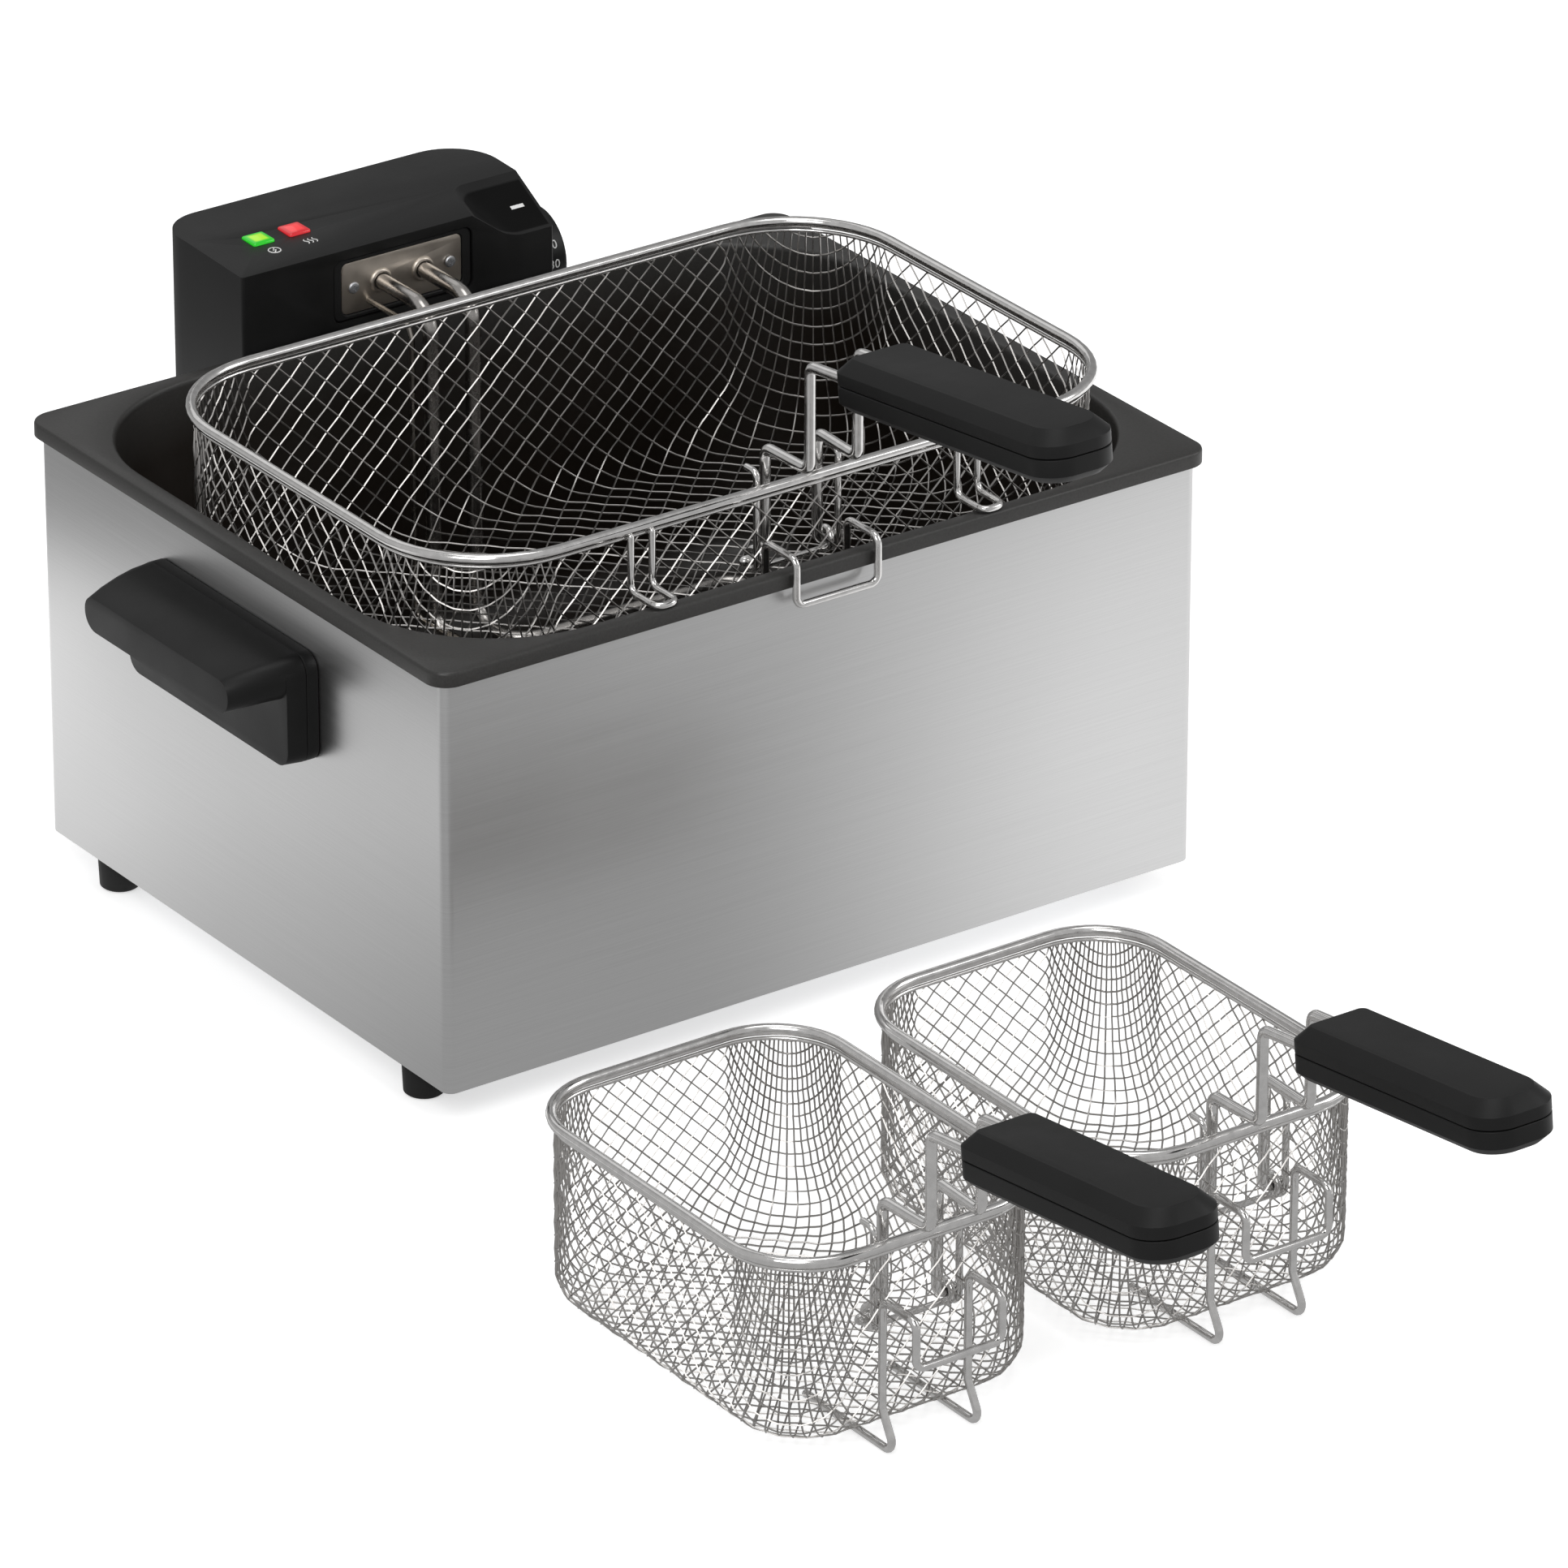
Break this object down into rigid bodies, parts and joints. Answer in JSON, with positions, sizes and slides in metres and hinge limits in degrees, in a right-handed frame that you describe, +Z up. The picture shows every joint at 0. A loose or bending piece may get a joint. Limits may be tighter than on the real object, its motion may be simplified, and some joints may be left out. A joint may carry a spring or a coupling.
{
  "type": "deep fryer",
  "caption": "Counter-top deep fryer: steel housing, lift-out pot and control head with immersed element, wide basket hung on the rim and half-width baskets in front.",
  "frame": {"origin": "middle of the whole set's footprint, on the counter", "axes": "+Z up, -Y towards the front (basket handles), +X to the right (dial side)"},
  "size_m": [0.4792, 0.8836, 0.3292],
  "materials": {
    "steel_wrap": "brushed stainless sheet, grain along the wall",
    "zinc_steel": "plated steel",
    "screws": "plated screws",
    "enamel": "black-brown satin coating",
    "casing": "fine-textured black plastic",
    "side_handles": "fine-textured black plastic",
    "seal": "black silicone",
    "heater_plate": "brushed plate",
    "insulator": "off-white insulating block",
    "element": "polished sheath",
    "probe": "plated capillary and bulb",
    "green_lens": "lit green lens",
    "red_lens": "lit red lens",
    "cutout": "moulded",
    "gland": "moulded",
    "dial": "black with pale numerals round its side",
    "shaft": "turned",
    "reset_red": "red button",
    "feet": "black",
    "basket_wire": "bright wire",
    "basket_mesh": "bright woven wire mesh, modelled as one closed sheet",
    "basket_grips": "fine-textured black plastic"
  },
  "bodies": {
    "housing": {"bracket_screw_left": "screws", "bracket_screw_right": "screws", "foot_back_left": "feet", "foot_back_right": "feet", "foot_front_left": "feet", "foot_front_right": "feet", "handle_screw_back_left": "screws", "handle_screw_back_right": "screws", "handle_screw_front_left": "screws", "handle_screw_front_right": "screws", "side_handle_grip_left": "side_handles", "side_handle_grip_right": "side_handles", "side_handle_plate_left": "side_handles", "side_handle_plate_right": "side_handles", "housing_wrap": "steel_wrap", "base_plate": "zinc_steel", "head_bracket": "zinc_steel"},
    "pot": {"oil_pot": "enamel"},
    "head": {"head_casing": "casing", "head_base": "casing", "element_seal": "seal", "heater_plate": "heater_plate", "element_carrier": "insulator", "heating_element": "element", "probe_tube": "probe", "plate_screw_left": "screws", "plate_screw_right": "screws", "green_light": "green_lens", "red_light": "red_lens", "thermostat": "zinc_steel", "thermal_cutout": "cutout", "cord_gland": "gland", "terminal_block": "insulator"},
    "dial": {"dial": "dial", "dial_shaft": "shaft"},
    "reset": {"reset_button": "reset_red"},
    "wide_basket": {"wide_basket_bracket": "basket_wire", "wide_basket_hook": "basket_wire", "wide_basket_mesh": "basket_mesh", "wide_basket_rest_left": "basket_wire", "wide_basket_rest_right": "basket_wire", "wide_basket_rim": "basket_wire"},
    "wide_basket_handle": {"wide_basket_handle_grip_bottom": "basket_grips", "wide_basket_handle_grip_top": "basket_grips", "wide_basket_handle_wire": "basket_wire"},
    "half_basket_left": {"half_basket_left_bracket": "basket_wire", "half_basket_left_hook": "basket_wire", "half_basket_left_mesh": "basket_mesh", "half_basket_left_rim": "basket_wire"},
    "half_basket_left_handle": {"half_basket_left_handle_grip_bottom": "basket_grips", "half_basket_left_handle_grip_top": "basket_grips", "half_basket_left_handle_wire": "basket_wire"},
    "half_basket_right": {"half_basket_right_bracket": "basket_wire", "half_basket_right_hook": "basket_wire", "half_basket_right_mesh": "basket_mesh", "half_basket_right_rim": "basket_wire"},
    "half_basket_right_handle": {"half_basket_right_handle_grip_bottom": "basket_grips", "half_basket_right_handle_grip_top": "basket_grips", "half_basket_right_handle_wire": "basket_wire"}
  },
  "joints": [
    {"name": "pot_lift", "type": "slide", "parent": "housing", "child": "pot", "axis": [0, 0, 1], "range_m": [0, 0.18]},
    {"name": "head_lift", "type": "slide", "parent": "pot", "child": "head", "axis": [0, 0, 1], "range_m": [0, 0.18]},
    {"name": "wide_basket_lift", "type": "slide", "parent": "head", "child": "wide_basket", "axis": [0, 0, 1], "range_m": [0, 0.15]},
    {"name": "wide_basket_handle_fold", "type": "hinge", "parent": "wide_basket", "child": "wide_basket_handle", "pos_m": [0.0096, 0.0742, 0.2024], "axis": [-1, 0, 0], "range_deg": [0, 90]},
    {"name": "dial_turn", "type": "hinge", "parent": "head", "child": "dial", "pos_m": [0.0864, 0.3941, 0.201], "axis": [-1, 0, 0], "range_deg": [0, 270]},
    {"name": "reset_press", "type": "slide", "parent": "head", "child": "reset", "axis": [0, -1, 0], "range_m": [0, 0.0025], "stiffness_N_per_m": 400, "springref_m": -0.001},
    {"name": "half_basket_left_lift", "type": "slide", "parent": "housing", "child": "half_basket_left", "axis": [0, 0, 1], "range_m": [0, 0.15]},
    {"name": "half_basket_left_handle_fold", "type": "hinge", "parent": "half_basket_left", "child": "half_basket_left_handle", "pos_m": [-0.1704, -0.2593, 0.0535], "axis": [-1, 0, 0], "range_deg": [0, 90]},
    {"name": "half_basket_right_lift", "type": "slide", "parent": "housing", "child": "half_basket_right", "axis": [0, 0, 1], "range_m": [0, 0.15]},
    {"name": "half_basket_right_handle_fold", "type": "hinge", "parent": "half_basket_right", "child": "half_basket_right_handle", "pos_m": [-0.0134, -0.2625, 0.0535], "axis": [-1, 0, 0], "range_deg": [0, 90]}
  ]
}
